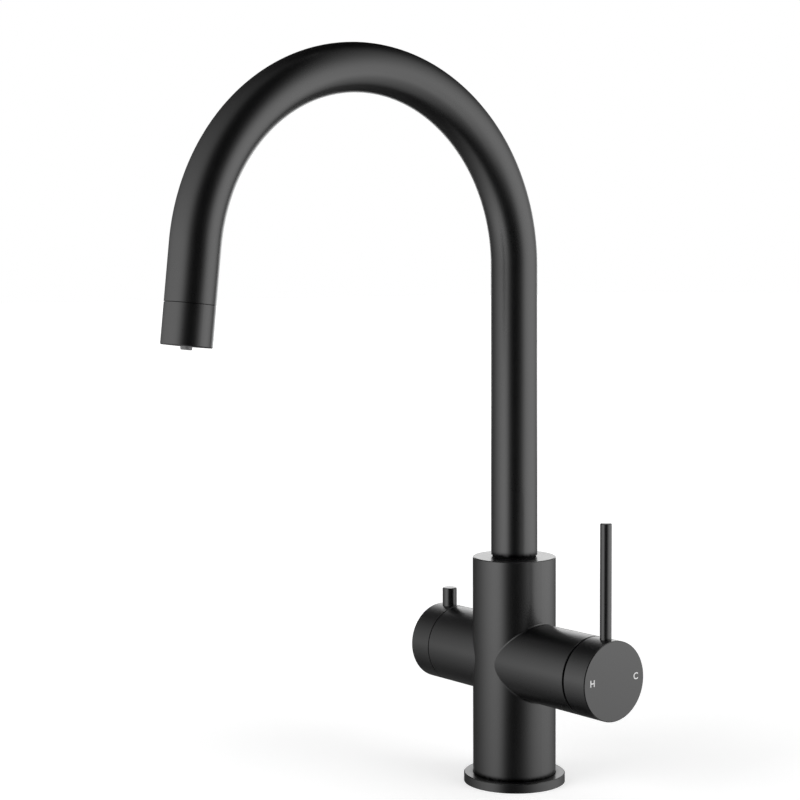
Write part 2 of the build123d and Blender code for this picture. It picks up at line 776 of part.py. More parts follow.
def make_headwork_seal():
    low = valve_thread_base + (valve_thread_length - headwork_seal_height) / 2
    return left * ring(valve_bore_radius - fixed_fit,
                       valve_bore_radius - headwork_seal_depth + fixed_fit,
                       low + fixed_fit, low + headwork_seal_height - fixed_fit)


def make_filter_seat_washer():
    return left * ring(valve_disc_radius, seat_washer_bore, valve_floor, valve_stack_start)


def windowed_disc(low, turn):
    """A ceramic disc with two quarter windows."""
    disc = rod(valve_disc_radius, low, low + valve_disc_height)
    inner = valve_disc_radius * 0.2
    outer = valve_disc_radius * 0.8
    quarter = Polyline((0, 0), (2 * outer, -1.6 * outer), (2 * outer, 1.6 * outer), close=True)
    window = (Circle(outer) - Circle(inner)) & make_face(quarter)
    for angle in (turn, turn + 180):
        disc -= Rot(0, 0, angle) * Pos(0, 0, low - cut_over) * extrude(
            window, valve_disc_height + 2 * cut_over)
    return disc


def make_filter_fixed_disc():
    return left * windowed_disc(valve_stack_start, 0)


def make_filter_moving_disc():
    disc = windowed_disc(valve_moving_start, 90)
    slot_depth = valve_tongue_height + valve_tongue_play
    slot = Box(1.6 * valve_disc_radius, valve_tongue_width + 2 * valve_tongue_play, 2 * slot_depth)
    return left * (disc - Pos(0, 0, valve_moving_top) * slot)


# The spindle: a foot whose tongue turns the moving disc, a grooved shaft and a splined end
def make_filter_spindle():
    spindle = rod(valve_disc_radius, valve_driver_start, valve_driver_top)
    tongue_length = 1.6 * valve_disc_radius - 2 * valve_tongue_play
    tongue_rise = valve_tongue_height + film_gap
    tongue = Box(tongue_length, valve_tongue_width, tongue_rise)
    spindle += Pos(0, 0, valve_driver_start - tongue_rise / 2) * tongue
    spindle += rod(spindle_radius, valve_driver_top, spline_start)
    spindle += Pos(0, 0, spline_start) * extrude(spline_profile(spindle_radius), spline_length)
    low = spindle_seal_place()
    spindle -= ring(spindle_radius + cut_over, spindle_radius - spindle_seal_depth, low,
                    low + spindle_seal_height)
    return left * spindle


def spindle_seal_place():
    return valve_hex_start + valve_hex_length


def make_spindle_seal():
    low = spindle_seal_place()
    return left * ring(spindle_radius, spindle_radius - spindle_seal_depth + fixed_fit,
                       low + fixed_fit, low + spindle_seal_height - fixed_fit)


# The filter knob: a cap on the splined end, hollow over the headwork's neck
def make_filter_knob():
    knob = turned(
        (0, filter_knob_start), (arm_radius - edge_break / 2, filter_knob_start),
        (arm_radius, filter_knob_start + edge_break / 2),
        (arm_radius, filter_knob_face - edge_break), (arm_radius - edge_break, filter_knob_face),
        (0, filter_knob_face),
    )
    knob -= rod(valve_neck_radius + valve_pocket_clearance, filter_knob_start - cut_over,
                spline_start)
    spline = extrude(spline_profile(spindle_radius + running_fit), spline_length + 0.3)
    knob -= Pos(0, 0, spline_start) * spline
    knob -= Pos(0, 0, filter_lever_reach) * lever_hole(
        filter_lever_diameter, filter_lever_seat, filter_lever_tail_diameter,
        filter_lever_tail_length)
    screw_hole = rod(grub_diameter / 2 + fixed_fit, 0, arm_radius + cut_over)
    return left * (knob - Pos(0, 0, filter_lever_reach) * Rot(0, -90, 0) * screw_hole)


def make_filter_lever():
    shaft = lever(filter_lever_diameter, filter_lever_length, filter_lever_seat,
                  filter_lever_tail_diameter, filter_lever_tail_length)
    return left * Pos(0, 0, filter_lever_reach) * shaft


def make_filter_grub_screw():
    screw = Pos(0, 0, spindle_radius + running_fit) * grub_screw(grub_diameter, filter_grub_length)
    return left * Pos(0, 0, filter_lever_reach) * Rot(0, -90, 0) * screw


pieces = {
    "body": make_body,
    "base_flange": make_base_flange,
    "base_seal": make_base_seal,
    "glide_ring": make_glide_ring,
    "spout_retaining_screw": make_spout_retaining_screw,
    "spout_tube": make_spout_tube,
    "spout_spigot": make_spout_spigot,
    "spout_seals": make_spout_seals,
    "filter_water_tube": make_filter_water_tube,
    "inner_tube_seal": make_inner_tube_seal,
    "outlet_adapter": make_outlet_adapter,
    "outlet_sleeve": make_outlet_sleeve,
    "aerator_insert": make_aerator_insert,
    "aerator_seal": make_aerator_seal,
    "filter_nozzle": make_filter_nozzle,
    "cartridge_housing": make_cartridge_housing,
    "cartridge_base": make_cartridge_base,
    "cartridge_seals": make_cartridge_seals,
    "fixed_mixing_disc": make_fixed_mixing_disc,
    "moving_mixing_disc": make_moving_mixing_disc,
    "mixing_carrier": make_mixing_carrier,
    "tilt_pin": make_tilt_pin,
    "mixer_stem": make_mixer_stem,
    "cartridge_nut": make_cartridge_nut,
    "dome_cover": make_dome_cover,
    "mixer_knob": make_mixer_knob,
    "mixer_lever": make_mixer_lever,
    "mixer_grub_screw": make_mixer_grub_screw,
    "filter_headwork": make_filter_headwork,
    "headwork_seal": make_headwork_seal,
    "filter_seat_washer": make_filter_seat_washer,
    "filter_fixed_disc": make_filter_fixed_disc,
    "filter_moving_disc": make_filter_moving_disc,
    "filter_spindle": make_filter_spindle,
    "spindle_seal": make_spindle_seal,
    "filter_knob": make_filter_knob,
    "filter_lever": make_filter_lever,
    "filter_grub_screw": make_filter_grub_screw,
}

for name, make in pieces.items():
    export_step(make(), f"parts/{name}.step")
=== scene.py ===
import bpy
import math
from mathutils import Euler, Matrix, Vector


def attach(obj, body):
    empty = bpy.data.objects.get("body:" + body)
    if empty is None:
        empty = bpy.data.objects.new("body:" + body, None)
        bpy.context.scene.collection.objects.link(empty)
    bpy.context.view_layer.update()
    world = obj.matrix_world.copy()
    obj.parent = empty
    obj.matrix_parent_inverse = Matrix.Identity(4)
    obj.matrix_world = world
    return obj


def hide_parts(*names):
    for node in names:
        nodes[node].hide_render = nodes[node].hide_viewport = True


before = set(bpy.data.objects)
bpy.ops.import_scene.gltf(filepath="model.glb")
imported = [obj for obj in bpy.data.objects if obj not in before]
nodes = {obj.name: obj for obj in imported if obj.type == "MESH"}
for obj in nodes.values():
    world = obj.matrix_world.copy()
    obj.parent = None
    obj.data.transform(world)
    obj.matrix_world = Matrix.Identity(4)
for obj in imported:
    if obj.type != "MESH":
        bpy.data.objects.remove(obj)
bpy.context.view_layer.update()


# The viewpoint: a long lens from the front right, level with the place where the spout's arch
# begins, looking slightly down at the tap.
camera_azimuth = math.radians(49.215)
camera_distance = 1.022755
camera_height = 0.281820
camera_pitch = math.radians(4.109)
camera_yaw = math.radians(3.448)
camera_roll = math.radians(-0.281)
camera_lens = 85.462

up = Vector((0, 0, 1))
inwards = Vector((-math.sin(camera_azimuth), math.cos(camera_azimuth), 0))
sideways = Vector((math.cos(camera_azimuth), math.sin(camera_azimuth), 0))
level = inwards * math.cos(camera_yaw) - sideways * math.sin(camera_yaw)
across = level.cross(up)
forward = level * math.cos(camera_pitch) - up * math.sin(camera_pitch)
upward = across.cross(forward)
camera_x = across * math.cos(camera_roll) + upward * math.sin(camera_roll)
camera_y = upward * math.cos(camera_roll) - across * math.sin(camera_roll)
camera_data = bpy.data.cameras.new("camera")
camera_data.lens = camera_lens
camera_data.sensor_width = 36
camera_data.clip_end = 100
camera = bpy.data.objects.new("camera", camera_data)
turn = Matrix((camera_x, camera_y, -forward)).transposed()
place = up * camera_height - inwards * camera_distance
camera.matrix_world = Matrix.Translation(place) @ turn.to_4x4()
bpy.context.scene.collection.objects.link(camera)
bpy.context.scene.camera = camera
bpy.context.scene.view_settings.view_transform = "Standard"


# The studio: a pale floor and white surroundings. Two broad soft lights show in the black coating
# as long pale bands, with dark between them, and a bright wall behind shows in the flat tops.
def new_material(name):
    material = bpy.data.materials.new(name)
    material.use_nodes = True
    return material


def add_node(tree, kind, **settings):
    """A new node with its settings."""
    node = tree.nodes.new(kind)
    for key, value in settings.items():
        setattr(node, key, value)
    return node


def bell(value, middle, spread):
    """1 at the middle, and smoothly less on both sides of it."""
    return math.exp(-((value - middle) / spread) ** 2)


def fall(value, edge, softness):
    """Falls smoothly from 1 to 0 as the value passes the edge."""
    return 1 / (1 + math.exp((value - edge) / softness))


def climb(value, edge, softness):
    """Climbs smoothly from 0 to 1 as the value passes the edge."""
    return fall(-value, -edge, softness)


def left_light(bearing, rise, near_floor):
    brightness = 3.6
    height = -8
    inner_edge = -30 - 4.5 * near_floor
    outer_edge = -85
    band = fall(bearing, inner_edge, softness=5.2) * climb(bearing, outer_edge, softness=16.5)
    return brightness * band * bell(rise, height, spread=52 if rise > height else 45)


def right_light(bearing, rise, near_floor):
    brightness = 3.3
    height = 10
    inner_edge = 34 + 13 * climb(rise, -14, softness=2) + 7 * near_floor
    outer_edge = 116
    inner_softness = 7 + 5 * near_floor
    band = climb(bearing, inner_edge, inner_softness) * fall(bearing, outer_edge, softness=13.5)
    return brightness * band * bell(rise, height, spread=46 if rise > height else 76)


def wall_behind(bearing, rise):
    brightness = 2.32
    edge = 154
    foot, top = -6, 20.5
    band = climb(abs(bearing), edge, softness=3)
    return brightness * band * fall(rise, top, softness=3) * climb(rise, foot, softness=1.5)


def ground_behind(bearing, rise):
    brightness = 0.1
    edge = 140
    top = -30
    return brightness * climb(abs(bearing), edge, softness=6) * fall(rise, top, softness=3)


def screen_glow(bearing, rise):
    """How brightly the screen glows at a bearing from the camera and an elevation, in degrees.
    The lights are strongest a little below the middle and weaker near the floor."""
    near_floor = fall(rise, -23, softness=2)
    strength = 1 + 0.17 * bell(rise, -14, spread=6) - 0.12 * near_floor
    lights = left_light(bearing, rise, near_floor) + right_light(bearing, rise, near_floor)
    return strength * lights + wall_behind(bearing, rise) + ground_behind(bearing, rise)


def make_screen():
    """A sphere round the tap that only reflections see."""
    step = 4
    radius = 0.68
    middle_height = 0.2
    bearings = range(-180, 181, step)
    rises = range(-88, 89, step)
    painted_shade_corners = []
    glows = []
    for bearing in bearings:
        for rise in rises:
            turn = camera_azimuth + math.radians(bearing)
            flat = radius * math.cos(math.radians(rise))
            painted_shade_corners.append((flat * math.sin(turn), -flat * math.cos(turn),
                            middle_height + radius * math.sin(math.radians(rise))))
            glows.append(screen_glow(bearing, rise))
    faces = []
    for i in range(len(bearings) - 1):
        for j in range(len(rises) - 1):
            first = i * len(rises) + j
            faces.append((first, first + 1, first + len(rises) + 1, first + len(rises)))
    data = bpy.data.meshes.new("reflected_screen")
    data.from_pydata(painted_shade_corners, [], faces)
    data.attributes.new("glow", "FLOAT", "POINT").data.foreach_set("value", glows)
    material = new_material("screen_glow")
    tree = material.node_tree
    tree.nodes.clear()
    level = add_node(tree, "ShaderNodeAttribute", attribute_name="glow")
    glow = add_node(tree, "ShaderNodeEmission")
    out = add_node(tree, "ShaderNodeOutputMaterial")
    tree.links.new(level.outputs["Fac"], glow.inputs["Strength"])
    tree.links.new(glow.outputs[0], out.inputs["Surface"])
    material.cycles.emission_sampling = "NONE"
    data.materials.append(material)
    screen = bpy.data.objects.new("reflected_screen", data)
    bpy.context.scene.collection.objects.link(screen)
    screen.visible_camera = False
    screen.visible_diffuse = False
    screen.visible_shadow = False


lamp_distance = 1.8
lamp_height = 0.9
lamp_aim = Vector((0, 0, 0.15))
lamp_size = 1.2
lamp_power = 16
sky_on_surfaces = 0.35


def soft_lamp(name, bearing):
    """A soft area lamp that lights the colours and leaves reflections to the screen."""
    data = bpy.data.lights.new(name, "AREA")
    data.shape = "SQUARE"
    data.size = lamp_size
    data.energy = lamp_power
    lamp = bpy.data.objects.new(name, data)
    turn = camera_azimuth + math.radians(bearing)
    stand = Vector((lamp_distance * math.sin(turn), -lamp_distance * math.cos(turn), lamp_height))
    aim = (lamp_aim - stand).to_track_quat("-Z", "Y").to_matrix().to_4x4()
    lamp.matrix_world = Matrix.Translation(stand) @ aim
    bpy.context.scene.collection.objects.link(lamp)
    lamp.visible_glossy = False


make_screen()
soft_lamp("lamp_left", bearing=-55)
soft_lamp("lamp_right", bearing=60)

world = bpy.data.worlds.new("studio")
bpy.context.scene.world = world
world.use_nodes = True
sky = world.node_tree
background = sky.nodes["Background"]
background.inputs["Color"].default_value = (1, 1, 1, 1)
rays = add_node(sky, "ShaderNodeLightPath")
seen = add_node(sky, "ShaderNodeMath", operation="MAXIMUM")
seen_or_through = add_node(sky, "ShaderNodeMath", operation="MAXIMUM")
world_level = add_node(sky, "ShaderNodeMapRange")
world_level.inputs["To Min"].default_value = sky_on_surfaces
world_level.inputs["To Max"].default_value = 1.0
sky.links.new(rays.outputs["Is Camera Ray"], seen.inputs[0])
sky.links.new(rays.outputs["Is Glossy Ray"], seen.inputs[1])
sky.links.new(seen.outputs[0], seen_or_through.inputs[0])
sky.links.new(rays.outputs["Is Transmission Ray"], seen_or_through.inputs[1])
sky.links.new(seen_or_through.outputs[0], world_level.inputs["Value"])
sky.links.new(world_level.outputs["Result"], background.inputs["Strength"])

# The floor turns to plain white away from the tap, so that no horizon shows
floor_half = 12.0
whitening_start = 0.15
whitening_end = 1.2
shine_near = 0.5
shine_far = 0.85
floor_data = bpy.data.meshes.new("floor")
floor_data.from_pydata(
    [(-floor_half, -floor_half, 0), (floor_half, -floor_half, 0),
     (floor_half, floor_half, 0), (-floor_half, floor_half, 0)], [], [(0, 1, 2, 3)])
floor = bpy.data.objects.new("floor", floor_data)
floor_material = new_material("pale_floor")
floor_tree = floor_material.node_tree
floor_shader = floor_tree.nodes["Principled BSDF"]
floor_shader.inputs["Base Color"].default_value = (0.8, 0.8, 0.8, 1)
floor_shader.inputs["Roughness"].default_value = 0.9
floor_shader.inputs["Emission Color"].default_value = (1, 1, 1, 1)
floor_rays = add_node(floor_tree, "ShaderNodeLightPath")
floor_place = add_node(floor_tree, "ShaderNodeTexCoord")
floor_reach = add_node(floor_tree, "ShaderNodeVectorMath", operation="LENGTH")
floor_fade = add_node(floor_tree, "ShaderNodeMapRange")
floor_lift = add_node(floor_tree, "ShaderNodeMath", operation="MULTIPLY")
floor_fade.inputs["From Min"].default_value = whitening_start
floor_fade.inputs["From Max"].default_value = whitening_end
floor_fade.inputs["To Min"].default_value = shine_near
floor_fade.inputs["To Max"].default_value = shine_far
floor_tree.links.new(floor_place.outputs["Object"], floor_reach.inputs[0])
floor_tree.links.new(floor_reach.outputs["Value"], floor_fade.inputs["Value"])
floor_tree.links.new(floor_fade.outputs["Result"], floor_lift.inputs[0])
floor_tree.links.new(floor_rays.outputs["Is Camera Ray"], floor_lift.inputs[1])
floor_tree.links.new(floor_lift.outputs[0], floor_shader.inputs["Emission Strength"])
floor_material.cycles.emission_sampling = "NONE"
floor_data.materials.append(floor_material)
bpy.context.scene.collection.objects.link(floor)
floor.visible_glossy = False


# The body: one brass casting of a barrel and two arms, machined all over, bored for the valves,
# then coated matt black outside. The bores and threads stay bare brass.
mm = 0.001
barrel_radius = 22.5 * mm
barrel_top = 123.4 * mm
arm_height = 67.9 * mm
arm_radius = 21.0 * mm
mixer_arm_end = 61.6 * mm
filter_arm_end = -48.8 * mm
upright = ((0, 0, 0), (0, 0, 0))
along_arms = ((0, 0, arm_height), (0, math.radians(-90), 0))
FLOAT, COLOUR, VECTOR = "NodeSocketFloat", "NodeSocketColor", "NodeSocketVector"


def group(name, inputs, outputs, kind="ShaderNodeTree"):
    """An empty node group with its sockets, and its two ends."""
    tree = bpy.data.node_groups.new(name, kind)
    for label, socket_kind, value in inputs:
        socket = tree.interface.new_socket(label, in_out="INPUT", socket_type=socket_kind)
        socket.default_value = value
    for label, socket_kind in outputs:
        tree.interface.new_socket(label, in_out="OUTPUT", socket_type=socket_kind)
    return tree, tree.nodes.new("NodeGroupInput"), tree.nodes.new("NodeGroupOutput")


def math_node(tree, operation, a, b=None):
    """One step of arithmetic on values or sockets; gives the result's socket."""
    node = add_node(tree, "ShaderNodeMath", operation=operation)
    for index, value in enumerate((a, b)):
        if value is None:
            continue
        if isinstance(value, (int, float)):
            node.inputs[index].default_value = value
        else:
            tree.links.new(value, node.inputs[index])
    return node.outputs[0]


def mix(tree, factor, a, b, kind="RGBA"):
    """Value or colour a where the factor is 0, b where it is 1."""
    node = add_node(tree, "ShaderNodeMix", data_type=kind)
    inputs = [socket for socket in node.inputs if socket.enabled]
    for socket, value in zip(inputs, (factor, a, b)):
        if isinstance(value, (int, float, tuple)):
            socket.default_value = value
        else:
            tree.links.new(value, socket)
    return [socket for socket in node.outputs if socket.enabled][0]


def noise(tree, vector, scale, detail=2.0):
    """Soft noise from 0 to 1, with so many lumps to the metre."""
    node = add_node(tree, "ShaderNodeTexNoise")
    node.inputs["Scale"].default_value = scale
    node.inputs["Detail"].default_value = detail
    tree.links.new(vector, node.inputs["Vector"])
    return node.outputs["Fac"]


def around_and_along(tree, place):
    """The distance from local Z and the place along it."""
    parts = add_node(tree, "ShaderNodeSeparateXYZ")
    tree.links.new(place, parts.inputs[0])
    x, y = parts.outputs["X"], parts.outputs["Y"]
    squares = math_node(tree, "ADD", math_node(tree, "MULTIPLY", x, x),
                        math_node(tree, "MULTIPLY", y, y))
    return math_node(tree, "SQRT", squares), parts.outputs["Z"]


def axis_place(tree, axis):
    """Object coordinates, moved and turned so that a turned piece's axis is local Z."""
    centre, turn = axis
    mapping = add_node(tree, "ShaderNodeMapping")
    mapping.inputs["Rotation"].default_value = turn
    mapping.inputs["Location"].default_value = -(Euler(turn).to_matrix() @ Vector(centre))
    tree.links.new(add_node(tree, "ShaderNodeTexCoord").outputs["Object"], mapping.inputs["Vector"])
    return mapping.outputs["Vector"]


def make_turned_rim():
    """Finds a turned edge or a round corner, and fades away from it."""
    tree, start, end = group(
        "turned_rim",
        [("Place", VECTOR, (0, 0, 0)), ("Radius", FLOAT, 0.02), ("Height", FLOAT, 0.0),
         ("Width", FLOAT, 0.0006)],
        [("Mask", FLOAT)])
    around, along = around_and_along(tree, start.outputs["Place"])
    off = math_node(tree, "SUBTRACT", around, start.outputs["Radius"])
    past = math_node(tree, "SUBTRACT", along, start.outputs["Height"])
    squares = math_node(tree, "ADD", math_node(tree, "MULTIPLY", off, off),
                        math_node(tree, "MULTIPLY", past, past))
    distance = math_node(tree, "SQRT", squares)
    fade = add_node(tree, "ShaderNodeMapRange", interpolation_type="SMOOTHSTEP")
    fade.inputs["To Min"].default_value = 1.0
    fade.inputs["To Max"].default_value = 0.0
    tree.links.new(distance, fade.inputs["Value"])
    tree.links.new(start.outputs["Width"], fade.inputs["From Max"])
    patches = math_node(tree, "ADD", noise(tree, start.outputs["Place"], scale=400), 0.5)
    # This mask marks worn edges, partly a painted highlight, and the corners of painted shade.
    patchy_fade = math_node(tree, "MULTIPLY", fade.outputs["Result"], patches)
    tree.links.new(math_node(tree, "MINIMUM", patchy_fade, 1.0), end.inputs["Mask"])
    return tree


def make_fine_coat():
    """A sprayed coat: fine grain, faint clouds in its colour and gloss, smoother on worn edges."""
    tree, start, end = group(
        "fine_coat",
        [("Place", VECTOR, (0, 0, 0)), ("Colour", COLOUR, (0.02, 0.02, 0.02, 1)),
         ("Light Colour", COLOUR, (0.03, 0.03, 0.03, 1)),
         ("Edge Colour", COLOUR, (0.05, 0.05, 0.05, 1)),
         ("Roughness", FLOAT, 0.4), ("Cloud", FLOAT, 0.05), ("Edge", FLOAT, 0.0)],
        [("Colour", COLOUR), ("Roughness", FLOAT), ("Height", FLOAT)])
    fleck_strength = 0.06
    rub_strength = 0.06
    speck_share = 0.4
    place = start.outputs["Place"]
    clouds = noise(tree, place, scale=45, detail=3)
    grain = noise(tree, place, scale=2600, detail=1)
    speck = noise(tree, place, scale=900, detail=2)
    cloud = math_node(tree, "MULTIPLY", math_node(tree, "SUBTRACT", clouds, 0.5),
                      start.outputs["Cloud"])
    fleck = math_node(tree, "MULTIPLY", math_node(tree, "SUBTRACT", speck, 0.5), fleck_strength)
    rough = math_node(tree, "ADD", math_node(tree, "ADD", start.outputs["Roughness"], cloud), fleck)
    rubbed = math_node(tree, "MULTIPLY", start.outputs["Edge"], rub_strength)
    colour = mix(tree, clouds, start.outputs["Colour"], start.outputs["Light Colour"])
    # Lighter at the edges: partly wear, partly a painted highlight.
    colour = mix(tree, start.outputs["Edge"], colour, start.outputs["Edge Colour"])
    tree.links.new(colour, end.inputs["Colour"])
    tree.links.new(math_node(tree, "SUBTRACT", rough, rubbed), end.inputs["Roughness"])
    tree.links.new(mix(tree, speck_share, grain, speck, "FLOAT"), end.inputs["Height"])
    return tree


def make_turned_metal():
    """Bare turned metal: fine rings about local Z, and a faint uneven tarnish."""
    tree, start, end = group(
        "turned_metal",
        [("Place", VECTOR, (0, 0, 0)), ("Colour", COLOUR, (0.6, 0.6, 0.6, 1)),
         ("Light Colour", COLOUR, (0.7, 0.7, 0.7, 1)), ("Roughness", FLOAT, 0.3)],
        [("Colour", COLOUR), ("Roughness", FLOAT), ("Height", FLOAT)])
    tarnish_strength = 0.14
    ring_strength = 0.1
    around, along = around_and_along(tree, start.outputs["Place"])
    ringed = add_node(tree, "ShaderNodeCombineXYZ")
    tree.links.new(around, ringed.inputs["X"])
    tree.links.new(along, ringed.inputs["Y"])
    rings = noise(tree, ringed.outputs[0], scale=5200, detail=1)
    tarnish = noise(tree, start.outputs["Place"], scale=160, detail=3)
    tree.links.new(mix(tree, tarnish, start.outputs["Colour"], start.outputs["Light Colour"]),
                   end.inputs["Colour"])
    uneven = math_node(tree, "ADD", math_node(tree, "MULTIPLY", tarnish, tarnish_strength),
                       math_node(tree, "MULTIPLY", rings, ring_strength))
    about_zero = math_node(tree, "SUBTRACT", uneven, (tarnish_strength + ring_strength) / 2)
    tree.links.new(math_node(tree, "ADD", start.outputs["Roughness"], about_zero),
                   end.inputs["Roughness"])
    tree.links.new(rings, end.inputs["Height"])
    return tree


def make_round_space():
    """1 within a round space about local Z, 0 outside it."""
    tree, start, end = group(
        "round_space",
        [("Place", VECTOR, (0, 0, 0)), ("Radius", FLOAT, 0.02), ("Low", FLOAT, 0.0),
         ("High", FLOAT, 0.1)],
        [("Mask", FLOAT)])
    around, along = around_and_along(tree, start.outputs["Place"])
    within = math_node(tree, "LESS_THAN", around, start.outputs["Radius"])
    above = math_node(tree, "GREATER_THAN", along, start.outputs["Low"])
    below = math_node(tree, "LESS_THAN", along, start.outputs["High"])
    mask = math_node(tree, "MULTIPLY", within, math_node(tree, "MULTIPLY", above, below))
    tree.links.new(mask, end.inputs["Mask"])
    return tree


turned_rim = make_turned_rim()
fine_coat = make_fine_coat()
turned_metal = make_turned_metal()
round_space = make_round_space()
black_dark = (0.002, 0.002, 0.0021, 1)
black_light = (0.0036, 0.0036, 0.0038, 1)
# The edges' lighter colour: partly worn coat, partly a painted highlight.
black_edge = (0.012, 0.012, 0.0124, 1)
brass_deep = (0.62, 0.43, 0.18, 1)
brass_light = (0.76, 0.57, 0.29, 1)
coat_roughness = 0.29
coat_grain = 0.004 * mm
brass_roughness = 0.28
turning_depth = 0.004 * mm
edge_width = 0.6 * mm
# How far the painted shade reaches from its corners.
painted_shade_width = 2.8 * mm


def use_group(tree, kind, place, **values):
    """A group placed in a material, with its own values."""
    node = add_node(tree, "ShaderNodeGroup", node_tree=kind)
    tree.links.new(place, node.inputs["Place"])
    for label, value in values.items():
        node.inputs[label.replace("_", " ")].default_value = value
    return node


def bump(tree, height, depth):
    """Turns a height from 0 to 1 into a surface that is so many metres deep."""
    node = add_node(tree, "ShaderNodeBump")
    node.inputs["Strength"].default_value = 1.0
    node.inputs["Distance"].default_value = depth
    tree.links.new(height, node.inputs["Height"])
    return node.outputs["Normal"]


def rims_mask(tree, rims, width=edge_width):
    """One mask of several turned edges, each given by its axis, radius and height."""
    mask = None
    for axis, radius, height in rims:
        rim = use_group(tree, turned_rim, axis_place(tree, axis), Radius=radius, Height=height,
                        Width=width)
        edge = rim.outputs["Mask"]
        mask = edge if mask is None else math_node(tree, "MAXIMUM", mask, edge)
    return mask


def coat_in(tree, rims):
    """The black coat in a material: its group, with worn edges partly lit as painted highlight."""
    coat = use_group(tree, fine_coat, axis_place(tree, upright), Colour=black_dark,
                     Light_Colour=black_light, Edge_Colour=black_edge, Roughness=coat_roughness,
                     Cloud=0.05)
    if rims:
        tree.links.new(rims_mask(tree, rims), coat.inputs["Edge"])
    return coat


def black_coating(name, rims, painted_shade_corners=()):
    """The tap's matt black finish, darkened as painted shade in the given corners."""
    material = new_material(name)
    tree = material.node_tree
    shader = tree.nodes["Principled BSDF"]
    coat = coat_in(tree, rims)
    # Painted shade: in the given corners the coat turns metallic, which darkens it.
    if painted_shade_corners:
        tree.links.new(rims_mask(tree, painted_shade_corners, painted_shade_width), shader.inputs["Metallic"])
    tree.links.new(coat.outputs["Colour"], shader.inputs["Base Color"])
    tree.links.new(coat.outputs["Roughness"], shader.inputs["Roughness"])
    tree.links.new(bump(tree, coat.outputs["Height"], coat_grain), shader.inputs["Normal"])
    return material


def part_coated(name, rims, axis, bare, painted_shade_corners=(), shine=0.5):
    """Black outside, painted shade in given corners, bare turned brass where the mask is 1."""
    material = new_material(name)
    tree = material.node_tree
    shader = tree.nodes["Principled BSDF"]
    shader.inputs["Specular IOR Level"].default_value = shine
    coat = coat_in(tree, rims)
    brass = use_group(tree, turned_metal, axis_place(tree, axis), Colour=brass_deep,
                      Light_Colour=brass_light, Roughness=brass_roughness)
    mask = bare(tree)
    tree.links.new(mix(tree, mask, coat.outputs["Colour"], brass.outputs["Colour"]),
                   shader.inputs["Base Color"])
    tree.links.new(mix(tree, mask, coat.outputs["Roughness"], brass.outputs["Roughness"], "FLOAT"),
                   shader.inputs["Roughness"])
    metal = mask
    # Painted shade: in the given corners the black coat turns metallic, which darkens it.
    if painted_shade_corners:
        metal = math_node(tree, "MAXIMUM", mask, rims_mask(tree, painted_shade_corners, painted_shade_width))
    tree.links.new(metal, shader.inputs["Metallic"])
    height = mix(tree, mask, coat.outputs["Height"], brass.outputs["Height"], "FLOAT")
    tree.links.new(bump(tree, height, coat_grain), shader.inputs["Normal"])
    return material


def inside(tree, axis, radius, low, high):
    """1 within a round space about an axis, 0 outside it."""
    space = use_group(tree, round_space, axis_place(tree, axis), Radius=radius, Low=low, High=high)
    return space.outputs["Mask"]


def body_bores(tree):
    """Bare brass inside, from where the coat's overspray in the mouths of the bores ends."""
    skin = 0.32 * mm
    overspray = 3 * mm
    cartridge_overspray = 8 * mm
    barrel = inside(tree, upright, barrel_radius - skin, 0.0, barrel_top - overspray)
    mixer = inside(tree, along_arms, arm_radius - skin, barrel_radius,
                   mixer_arm_end - cartridge_overspray)
    valve = inside(tree, along_arms, arm_radius - skin, filter_arm_end + overspray, -barrel_radius)
    return math_node(tree, "MAXIMUM", barrel, math_node(tree, "MAXIMUM", mixer, valve))


def dress(material, *names):
    """Gives frame nodes their finish."""
    for name in names:
        data = nodes[name].data
        data.materials.clear()
        data.materials.append(material)


flange_top = 5.0 * mm
# Painted shade where the barrel stands on the flange, on the barrel's foot and the flange's top.
foot_painted_shade = (upright, barrel_radius, flange_top)
body_rims = [(upright, barrel_radius, barrel_top), (along_arms, arm_radius, mixer_arm_end),
             (along_arms, arm_radius, filter_arm_end)]
dress(part_coated("coated_casting", body_rims, upright, body_bores, [foot_painted_shade]), "body")


# The foot: a flat trim ring of coated brass round the barrel's foot, and the rubber ring in the
# groove under it that keeps water from the worktop's hole.
flange_radius = 27.5 * mm


def make_moulded():
    """A moulded surface: faint flow in its colour, a fine dull grain."""
    tree, start, end = group(
        "moulded",
        [("Place", VECTOR, (0, 0, 0)), ("Colour", COLOUR, (0.5, 0.5, 0.5, 1)),
         ("Light Colour", COLOUR, (0.6, 0.6, 0.6, 1)), ("Roughness", FLOAT, 0.45),
         ("Grain", FLOAT, 1800.0)],
        [("Colour", COLOUR), ("Roughness", FLOAT), ("Height", FLOAT)])
    flow_strength = 0.2
    place = start.outputs["Place"]
    flow = noise(tree, place, scale=130, detail=3)
    grain = add_node(tree, "ShaderNodeTexNoise")
    grain.inputs["Detail"].default_value = 1.0
    tree.links.new(place, grain.inputs["Vector"])
    tree.links.new(start.outputs["Grain"], grain.inputs["Scale"])
    tree.links.new(mix(tree, flow, start.outputs["Colour"], start.outputs["Light Colour"]),
                   end.inputs["Colour"])
    dull = math_node(tree, "MULTIPLY", math_node(tree, "SUBTRACT", flow, 0.5), flow_strength)
    rough = math_node(tree, "ADD", start.outputs["Roughness"], dull)
    tree.links.new(rough, end.inputs["Roughness"])
    tree.links.new(grain.outputs["Fac"], end.inputs["Height"])
    return tree


moulded = make_moulded()


